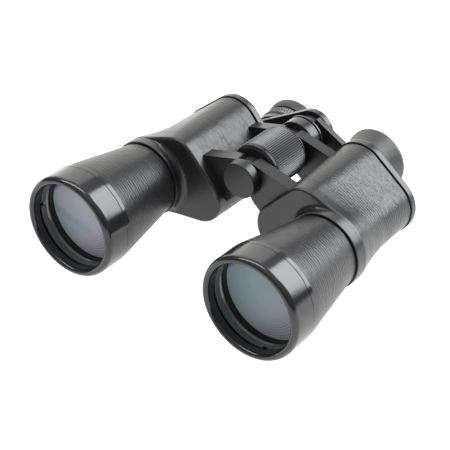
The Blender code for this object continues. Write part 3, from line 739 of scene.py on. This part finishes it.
def front_wall(side):
    """Rings from the collar over its fillet and the flat face to the rounded front edge."""
    centre = Vector((OBJECTIVE_X, OBJECTIVE_Z))
    edge_depth = SECTIONS[0][0] - FACE
    spokes = []
    for x, z, nx, nz in section(SECTIONS[0][0]):
        spot, normal = Vector((x, z)), Vector((nx, nz))
        edge = min(edge_depth, 0.45 * ((spot - centre).length - COLLAR_R))
        inner = spot - normal * edge
        across = (inner - centre).length - COLLAR_R
        fillet = max(0.05, min(FILLET, 0.85 * across))
        spokes.append((spot, normal * edge, inner, (inner - centre).normalized(), fillet))

    def place(spot, station):
        return side * spot.x, station, spot.y

    rings = []
    for out, up in quarter(7):
        rings.append([
            place(centre + away * (COLLAR_R + fillet * out), FACE - fillet * up)
            for _, _, _, away, fillet in spokes
        ])
    for t in (0.33, 0.67):
        rings.append([
            place((centre + away * (COLLAR_R + fillet)).lerp(inner, t), FACE)
            for _, _, inner, away, fillet in spokes
        ])
    for back, out in quarter(6):
        rings.append([place(spot - inset * out, FACE + edge_depth * back) for spot, inset, _, _, _ in spokes])
    return rings


def housing(label, side, body):
    """The cast prism housing: collar, front wall, and a thin shell under the covering."""
    node = f"{label}_housing"
    outline = section(SECTIONS[0][0])
    base = -(COVERING + GAP)
    inside = base - WALL
    wall_rear = 75.0
    collar = ((NECK_BORE_R, 0.0), (COLLAR_R - 0.5, 0.0), (COLLAR_R - 0.15, 0.15), (COLLAR_R, 0.5))

    def about_objective(radius, station):
        return circle_like(side, OBJECTIVE_X, OBJECTIVE_Z, radius, station, outline)

    rings = [about_objective(radius, COLLAR_FRONT + behind) for radius, behind in collar]
    rings += front_wall(side)
    rings += [ring_at(side, SLEEVE[0] - 1.0), ring_at(side, SLEEVE[0]), ring_at(side, SLEEVE[0], base)]
    rings += [ring_at(side, s, base) for s in (*WAIST, HOUSING_REAR)]
    rings += [ring_at(side, s, inside) for s in (HOUSING_REAR, *reversed(WAIST), wall_rear)]
    rings += [about_objective(NECK_BORE_R, wall_rear)]
    piece(loft(node, rings, side * OBJECTIVE_X), "satin_black", body, node)


def housing_covering(label, side, body):
    """Leatherette round the housing."""
    node = f"{label}_housing_covering"
    front, rear, steps = SLEEVE[0], SLEEVE[1] + 0.1, 24
    rings = [ring_at(side, front, -COVERING)]
    rings += [ring_at(side, front + (rear - front) * k / steps) for k in range(steps)]
    rings += [ring_at(side, rear - 0.3), ring_at(side, rear, -0.3), ring_at(side, rear, -COVERING)]
    rings += [ring_at(side, s, -COVERING) for s in reversed(WAIST)]
    piece(loft(node, rings, side * OBJECTIVE_X), "housing_leather", body, node)


def rear_cover(label, side, body):
    """Pressed cover that overlaps the housing, with a rounded rear edge."""
    node = f"{label}_rear_cover"
    front, rear = COVER
    eye = (side, EYE_X, EYE_Z, EYE_HOLE_R)
    outline = section(HOUSING_REAR)
    proud, front_round, rear_round = 0.75, 0.4, 1.5

    def outside(station, delta):
        return [(x, station, z) for x, _, z in ring_at(side, HOUSING_REAR, delta)]

    rings = [circle_like(*eye, front, outline), outside(front, proud - 1.2)]
    rings += [outside(front + front_round * back, proud - front_round * low) for back, low in quarter(4)]
    rings += [outside(rear - rear_round * ahead, proud - rear_round * low) for low, ahead in quarter(6)]
    rings += [outside(rear, proud - rear_round - 0.6), circle_like(*eye, rear, outline)]
    made = loft(node, rings, side * OBJECTIVE_X)
    for number in (1, 2):
        axis = axis_of(f"{label}_cover_screw_{number}")
        cylinder_cut(made, axis, 2.1, (SCREW_SEAT, rear + 1.0), 32)
    piece(made, "satin_black", body, node)


def cover_screw(label, number, body):
    """A slotted screw, each turned its own way."""
    node = f"{label}_cover_screw_{number}"
    axis, (front, rear) = axis_of(node), stations_of(node)
    shank_r, head_r, head_front = 0.9, 1.8, SCREW_SEAT + GAP
    corners = [
        (0.0, front), (shank_r, front), (shank_r, head_front), (head_r, head_front, 0.2),
        (head_r, rear, 0.3), (0.0, rear),
    ]
    made = turned(node, axis, rounded(corners), 32)
    slot_cut(made, 0.25, 2.5, (rear - 0.5, rear + 1.0), 30.0 + 70.0 * number, axis)
    piece(made, "steel", body, node)


def strap_lug(label, side, body):
    """A cast eye for the strap, with rounded ends."""
    node = f"{label}_strap_lug"
    (low, high), (front, rear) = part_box(node), stations_of(node)
    x0, x1 = low.x / MM, high.x / MM
    bottom, top = low.z / MM, high.z / MM
    end_r, hole_r, margin = 2.2, 1.2, 2.2
    hole_bottom, hole_top = bottom + 1.5, bottom + 6.1
    outer = rounded([(front, top), (front, bottom, end_r), (rear, bottom, end_r), (rear, top)])
    hole = rounded([
        (front + margin, hole_bottom, hole_r), (rear - margin, hole_bottom, hole_r),
        (rear - margin, hole_top, hole_r), (front + margin, hole_top, hole_r),
    ])
    made = side_plate(node, outer, (x0, x1))
    cut(made, side_plate("hole", hole, (x0 - 1.0, x1 + 1.0)))
    soften(made, 0.35)
    piece(made, "satin_black", body, node)


# Hinge

KNUCKLE_R, ARM_CLEAR_R, ARM_CREST_R, AXLE_R = 8.4, 8.8, 10.6, 4.0
ARM_TOP_END = {1.0: 65.0, -1.0: 57.0}   # degrees round the knuckle where each side's arm begins


def arm_outline(side):
    """A knuckle round the hinge axis, running out into a plate that ends inside the housing."""
    base, top_end = OBJECTIVE_Z, ARM_TOP_END[side]
    crest = math.radians(top_end)
    outline = arc(0.0, HINGE_Z, KNUCKLE_R, 284.0, top_end, 40)
    outline += [(ARM_CREST_R * math.cos(crest), HINGE_Z + ARM_CREST_R * math.sin(crest))]
    outline += [(32.0, base + 19.2), (32.0, base - 4.0), (20.0, base - 9.5), (12.2, base - 3.2)]
    outline += [(8.6, base + 0.4), (5.8, base + 2.8), (4.0, base + 5.4)]
    return [(side * x, z) for x, z in outline]


def housing_block(side, delta, start, end):
    """The housing's outside, grown by delta, as a closed cutter."""
    rings = [ring_at(side, s, delta) for s in (start, (start + end) / 2, end)]
    ends = [[(side * MID_X, s, MID_Z)] for s in (start, end)]
    return loft("housing_block", ends[:1] + rings + ends[1:])


def hinge_arm(label, place, span, clearance):
    """One arm, cleared where the other side's knuckle sits and cut to the housing's shape."""
    node, side = f"{label}_{place}_arm", SIDES[label]
    made = plate(node, arm_outline(side), span)
    cylinder_cut(made, (0.0, HINGE_Z), AXLE_R + GAP, (span[0] - 1.0, span[1] + 1.0))
    cylinder_cut(made, (0.0, HINGE_Z), ARM_CLEAR_R, clearance, 96)
    soften(made, 0.6, 4)
    cut(made, housing_block(side, -0.5, span[0] - 3.0, span[1] + 3.0))
    piece(made, "satin_black", f"{label}_half", node)


def hinge_arms():
    """The left knuckles sit ahead of the right ones at both ends of the hinge."""
    for place in ("front", "rear"):
        span = stations_of(f"left_{place}_arm")
        split = sum(span) / 2
        ahead, behind = (span[0] - 1.0, split + GAP / 2), (split - GAP / 2, span[1] + 1.0)
        hinge_arm("left", place, span, behind)
        hinge_arm("right", place, span, ahead)


def hinge_cap():
    front, rear = stations_of("hinge_cap")
    r = radius_of("hinge_cap")
    bore, face_rear = 7.3, front + 2.2
    corners = [(0.0, front), (r - 0.7, front, 0.8), (r, rear, 0.4), (bore, rear), (bore, face_rear)]
    corners.append((0.0, face_rear))
    piece(turned("hinge_cap", (0.0, HINGE_Z), rounded(corners, 7)), "satin_black", "left_half", "hinge_cap")


def rear_collar():
    front, rear = stations_of("rear_collar")
    r = radius_of("rear_collar")
    bore = AXLE_R + GAP
    corners = [
        (bore, front), (r - 0.3, front, 0.6), (r - 0.3, rear - 2.1, 0.3), (r - 1.1, rear - 1.9, 0.1),
        (r - 1.1, rear - 1.5, 0.1), (r, rear - 1.3, 0.3), (r, rear, 0.4), (bore, rear),
    ]
    turned_piece("rear_collar", (0.0, HINGE_Z), corners, "anodised", "left_half")


# Focus drive

def ribs(count, depth, low_r, span, twist=0.0):
    """A rib function for turned(): a rounded wave round everything outside low_r in a span of stations."""
    def ripple(radius, station, angle):
        if radius < low_r or not span[0] <= station <= span[1]:
            return radius
        return radius - depth * (0.5 + 0.5 * math.cos(count * angle + twist * (station - span[0])))
    return ripple


def focus_wheel():
    """A ribbed sleeve on the axle, with room inside for the focus nut."""
    front, rear = stations_of("focus_wheel")
    r = radius_of("focus_wheel")
    bore, band = AXLE_R + GAP, r - 0.35
    rib_front, rib_rear, rib_depth = front + 2.4, rear - 1.5, 0.6
    nut_r, nut_front, nut_rear = 6.6, 90.0, 109.0
    corners = [
        (bore, front), (12.4, front, 0.5), (band, front + 0.7, 0.6), (band, front + 1.5, 0.05),
        (band - 0.3, front + 1.55), (band - 0.3, front + 1.75), (band, front + 1.8, 0.05),
        (band, front + 2.2, 0.1), (r - 1.0, rib_front - 0.05), (r - 0.6, rib_front + 0.01),
        (r, rib_front + 0.5), (r, rib_rear - 0.5), (r - 0.6, rib_rear - 0.01),
        (r - 1.0, rib_rear + 0.05), (band, rib_rear + 0.2, 0.15), (band, rear - 0.6, 0.5),
        (12.2, rear, 0.5), (bore, rear), (bore, nut_rear + 1.0), (nut_r, nut_rear),
        (nut_r, nut_front), (bore, nut_front - 1.0),
    ]
    grip = ribs(WHEEL_RIBS, rib_depth, r - 0.65, (rib_front, rib_rear))
    made = turned("focus_wheel", (0.0, HINGE_Z), rounded(corners), WHEEL_RIBS * POINTS_PER_RIB, grip)
    piece(made, "anodised", "focus_wheel", "focus_wheel")
    made.data.materials.append(FINISHES["wheel_grip"])
    for face in made.data.polygons:
        away = math.hypot(face.center.x, face.center.z) / MM
        if away > r - 0.62 and rib_front < face.center.y / MM < rib_rear:
            face.material_index = 1


CROWN_R = 12.0
EYE_RING_R, TUBE_BORE_R, SCREW_BORE_R = 15.2, 12.3, 2.9


def bridge_arm(label, side, hub_r, body):
    """A plate from the spindle's hub to a ring round the eyepiece."""
    node = f"{label}_bridge_arm"
    span = stations_of(node)
    lean = math.degrees(math.atan2(EYE_X, HINGE_Z - EYE_Z))
    hub_start = lean + 9.0
    ring = arc(EYE_X, EYE_Z, EYE_RING_R, lean - 180.0, lean, 48)
    crown = arc(0.0, HINGE_Z, CROWN_R, lean, hub_start, 4)
    hub = arc(0.0, HINGE_Z, hub_r, hub_start, lean + 180.0, 48)
    if hub_r == CROWN_R:    # the two arcs share a point
        crown = crown[:-1]
    made = plate(node, [(side * x, z) for x, z in ring + crown + hub], span)
    drill = (span[0] - 1.0, span[1] + 1.0)
    cylinder_cut(made, (side * EYE_X, EYE_Z), TUBE_BORE_R, drill, 96)
    cylinder_cut(made, (0.0, HINGE_Z), SCREW_BORE_R, drill)
    soften(made, 0.4)
    piece(made, "satin_black", body, node)


def bridge_screw():
    front, rear = stations_of("bridge_screw")
    r, top_r = 6.4, 5.2
    corners = [(0.0, front), (r, front, 0.3), (r, rear - 1.0, 0.4), (top_r, rear, 0.5), (0.0, rear)]
    made = turned("bridge_screw", (0.0, HINGE_Z), rounded(corners), 72)
    slot_cut(made, 0.6, 8.0, (rear - 1.0, rear + 1.0), 0.0, (0.0, HINGE_Z))
    piece(made, "steel", "left_ocular", "bridge_screw")


# Eyepieces

OCULAR_R, OCULAR_BORE_R = 12.0, 11.0
CELL_BORE_R = 9.6


def eye_rim(stem_r, rear):
    """Corners of the rim that holds an eye lens, on a stem."""
    flange_r, flange_front = 13.2, 155.2
    return [
        (stem_r, flange_front), (flange_r, flange_front), (flange_r, rear, 0.4), (CELL_BORE_R, rear, 0.5),
    ]


def guide_tube(label, axis, body):
    """Fixed tube with a collar against the rear cover, in which the ocular slides."""
    node = f"{label}_guide_tube"
    front, rear = stations_of(node)
    stem_r, collar_r, tail_r, collar_front = 13.5, 15.5, 13.8, COVER[1] + 0.05
    corners = [
        (TUBE_BORE_R, front), (stem_r, front), (stem_r, collar_front),
        (collar_r, collar_front, 0.3), (collar_r, rear - 2.0, 0.6), (tail_r, rear - 1.6, 0.3),
        (tail_r, rear, 0.3), (TUBE_BORE_R, rear, 0.3),
    ]
    turned_piece(node, axis, corners, "anodised", body)


def left_ocular_tube(axis):
    front, rear = stations_of("left_ocular_tube")
    corners = [(OCULAR_BORE_R, front), (OCULAR_R, front, 0.2)] + eye_rim(OCULAR_R, rear)
    corners += [(CELL_BORE_R, 149.0), (OCULAR_BORE_R, 148.0)]
    turned_piece("left_ocular_tube", axis, corners, "anodised", "left_ocular")


def right_ocular_tube(axis):
    front, rear = stations_of("right_ocular_tube")
    collar_r, collar_front, collar_rear = 16.0, 143.7, 148.6
    corners = [
        (OCULAR_BORE_R, front), (OCULAR_R, front, 0.2), (OCULAR_R, collar_front),
        (collar_r, collar_front, 0.6), (collar_r, collar_rear, 0.3), (OCULAR_R, collar_rear),
        (OCULAR_R, rear, 0.2), (OCULAR_BORE_R, rear),
    ]
    turned_piece("right_ocular_tube", axis, corners, "anodised", "right_ocular")


def dioptre_ring(axis):
    """Adjusting ring with two rows of slanted ribs, and a sleeve behind them that slides in the cup."""
    front, rear = stations_of("dioptre_ring")
    r = radius_of("dioptre_ring")
    middle = (front + rear) / 2
    bore, sleeve_r, sleeve_bore, sleeve_rear, step = 12.4, 16.1, 14.6, 157.7, 151.6
    corners = [
        (bore, front), (r - 0.9, front, 0.3), (r - 0.5, front + 0.5), (r, front + 0.8),
        (r, middle - 0.4), (r - 0.55, middle - 0.15), (r - 0.55, middle + 0.15),
        (r, middle + 0.4), (r, rear - 0.5), (r - 0.5, rear - 0.2), (r - 0.7, rear, 0.2),
        (sleeve_r, rear), (sleeve_r, sleeve_rear), (sleeve_bore, sleeve_rear),
        (sleeve_bore, step), (bore, step),
    ]
    grip = ribs(DIOPTRE_RIBS, 0.6, r - 0.52, (front + 0.4, rear - 0.15), 0.45)
    made = turned("dioptre_ring", axis, rounded(corners), DIOPTRE_RIBS * POINTS_PER_RIB, grip)
    piece(made, "dioptre_grip", "dioptre_ring", "dioptre_ring")


def dioptre_cell(axis):
    front, rear = stations_of("dioptre_cell")
    stem_r = 10.7
    corners = [(CELL_BORE_R, front, 0.2), (stem_r, front)] + eye_rim(stem_r, rear)
    turned_piece("dioptre_cell", axis, corners, "anodised", "dioptre_cell")


# The rolled rear edge of both eyecups
CUP_MOUTH = [
    (18.15, 159.6), (18.7, 161.8), (18.55, 163.0), (17.7, 163.4), (16.8, 163.3), (15.6, 162.2),
    (14.9, 159.6), (13.5, 158.7),
]


def left_eyecup(axis):
    outside = [(15.2, 139.7), (15.3, 144.0), (15.7, 149.0), (16.8, 154.5)]
    profile = [(TUBE_BORE_R, 139.4), (14.9, 139.4)] + smooth_line(outside + CUP_MOUTH)
    profile += [(13.5, 154.9), (TUBE_BORE_R, 154.9)]
    turned_piece("left_eyecup", axis, profile, "rubber", "left_ocular")


def right_eyecup(axis):
    """Shorter than the left one, with a recess for the dioptre ring's sleeve."""
    profile = [(13.5, 152.9), (14.2, 152.9), (14.2, 159.0), (16.4, 159.0), (16.4, 157.2), (17.0, 157.2)]
    profile += smooth_line([(17.2, 157.6)] + CUP_MOUTH)
    turned_piece("right_eyecup", axis, profile, "rubber", "dioptre_cell")


def small_lens(node, axis, body):
    """A lens with both faces domed by a millimetre."""
    front, rear = stations_of(node)
    r, rings = radius_of(node), 10
    bulge = [(r * k / rings, front + (k / rings) ** 2) for k in range(rings + 1)]
    back = [(r * (rings - k) / rings, rear - ((rings - k) / rings) ** 2) for k in range(rings + 1)]
    turned_piece(node, axis, bulge + back, "eye_lens", body, 72)


def build_side(label, side):
    """Every piece that both halves have."""
    body = f"{label}_half"
    objective, eye = (side * OBJECTIVE_X, OBJECTIVE_Z), (side * EYE_X, EYE_Z)
    objective_ring(label, objective, body)
    barrel(label, objective, body)
    barrel_covering(label, objective, body)
    objective_lens(label, side, objective, body)
    retaining_ring(label, side, objective, body)
    lens_ring(label, objective, body)
    housing(label, side, body)
    housing_covering(label, side, body)
    rear_cover(label, side, body)
    for number in (1, 2):
        cover_screw(label, number, body)
    strap_lug(label, side, body)
    guide_tube(label, eye, body)
    small_lens(f"{label}_field_lens", eye, f"{label}_ocular")
    small_lens(f"{label}_eye_lens", eye, "left_ocular" if side > 0 else "dioptre_cell")


def finish_kept_solids():
    """The hidden works keep their solids and get real finishes."""
    slots = {row["node"]: row["material_slot"] for row in frame["record"]["subparts"]}
    for name, obj in frame["nodes"].items():
        if not obj.hide_render:
            for slot in obj.material_slots:
                slot.material = FINISHES[slots[name]]


# Studio

def area_light(name, place, aim, size, power, colour=(1.0, 1.0, 1.0)):
    """A soft rectangular lamp at place that shines towards aim."""
    data = bpy.data.lights.new(name, "AREA")
    data.shape = "RECTANGLE"
    data.size, data.size_y = size
    data.energy = power
    data.color = colour
    lamp = bpy.data.objects.new(name, data)
    lamp.location = place
    lamp.rotation_euler = (place - aim).to_track_quat("Z", "Y").to_euler()
    bpy.context.collection.objects.link(lamp)


def glowing_paper():
    """White paper on a light table: its own glow keeps the shadows faint."""
    paper = Finish("white_paper", (0.5, 0.5, 0.5), 0.9, Emission_Strength=1.05)
    paper.shader.inputs["Emission Color"].default_value = (1.0, 1.0, 1.0, 1.0)
    paper.shade(paper.noise(3.0), (0.49, 0.49, 0.49), (0.51, 0.51, 0.51))
    return paper.material


def sky():
    """A white room, brighter overhead than at the horizon."""
    made = bpy.data.worlds.new("studio")
    made.use_nodes = True
    tree = made.node_tree
    direction = tree.nodes.new("ShaderNodeTexCoord").outputs["Generated"]
    split = tree.nodes.new("ShaderNodeSeparateXYZ")
    tree.links.new(direction, split.inputs["Vector"])
    ramp = tree.nodes.new("ShaderNodeValToRGB")
    tree.links.new(split.outputs["Z"], ramp.inputs["Fac"])
    for place, level in ((0.05, 0.16), (0.35, 0.2), (0.7, 0.6)):
        stop = ramp.color_ramp.elements.new(place)
        stop.color = (level * 0.97, level * 0.985, level, 1.0)
    ramp.color_ramp.elements[0].color = (0.16, 0.165, 0.17, 1.0)
    ramp.color_ramp.elements[-1].color = (1.0, 1.0, 1.0, 1.0)
    tree.links.new(ramp.outputs["Color"], tree.nodes["Background"].inputs["Color"])
    return made


def studio():
    """Floor, sky, and three lamps: a key behind to the right, a bank behind to the left, a strip above."""
    bm = bmesh.new()
    bmesh.ops.create_grid(bm, x_segments=1, y_segments=1, size=6.0)
    floor = make_object("floor", bm, Vector((0.0, 0.0, -FOLD_ROOM * MM)))
    floor.data.materials.append(glowing_paper())
    bpy.context.scene.world = sky()
    cool_white, warm_white = (0.97, 0.985, 1.0), (1.0, 1.0, 0.96)
    towards = Vector((0.50, 0.66, 0.56)).normalized()
    across = Vector((0.797, -0.604, 0.0))
    downward = across.cross(towards)
    key = towards * 0.8 + across * 0.01 + downward * 0.06
    area_light("key_softbox", key, key - towards, (0.445, 0.78), 10.5, cool_white)
    centre = Vector((0.0, 0.0, 0.03))
    back = centre + Vector((-0.66, 0.66, 0.36)) * 1.6
    area_light("back_bank", back, centre, (1.5, 1.9), 16.5, warm_white)
    barrels = Vector((0.0, -0.06, 0.03))
    overhead = barrels + Vector((-0.28, -0.11, 0.72))
    area_light("overhead_strip", overhead, barrels, (0.12, 0.80), 3.6)
    bpy.context.scene.view_settings.view_transform = "Standard"


def camera():
    """A long lens in front, to the right of the objectives and above them."""
    azimuth, elevation, roll = math.radians(37.75), math.radians(33.28), math.radians(-0.10)
    target, distance = Vector((0.0005, -0.0227, 0.0250)), 0.7981
    level = math.cos(elevation)
    back = Vector((math.sin(azimuth) * level, -math.cos(azimuth) * level, math.sin(elevation)))
    data = bpy.data.cameras.new("camera")
    data.sensor_width = 36.0
    data.lens = 120.32
    made = bpy.data.objects.new("camera", data)
    made.location = target + back * distance
    made.rotation_mode = "QUATERNION"
    made.rotation_quaternion = back.to_track_quat("Z", "Y") @ Quaternion((0.0, 0.0, 1.0), roll)
    bpy.context.collection.objects.link(made)
    bpy.context.scene.camera = made


camera()
for label, side in SIDES.items():
    build_side(label, side)
hinge_arms()
hinge_cap()
rear_collar()
focus_wheel()
bridge_arm("left", SIDES["left"], 9.6, "left_ocular")
bridge_arm("right", SIDES["right"], CROWN_R, "right_ocular")
bridge_screw()
LEFT_EYE, RIGHT_EYE = (EYE_X, EYE_Z), (-EYE_X, EYE_Z)
left_ocular_tube(LEFT_EYE)
right_ocular_tube(RIGHT_EYE)
left_eyecup(LEFT_EYE)
right_eyecup(RIGHT_EYE)
dioptre_ring(RIGHT_EYE)
dioptre_cell(RIGHT_EYE)
finish_kept_solids()
studio()
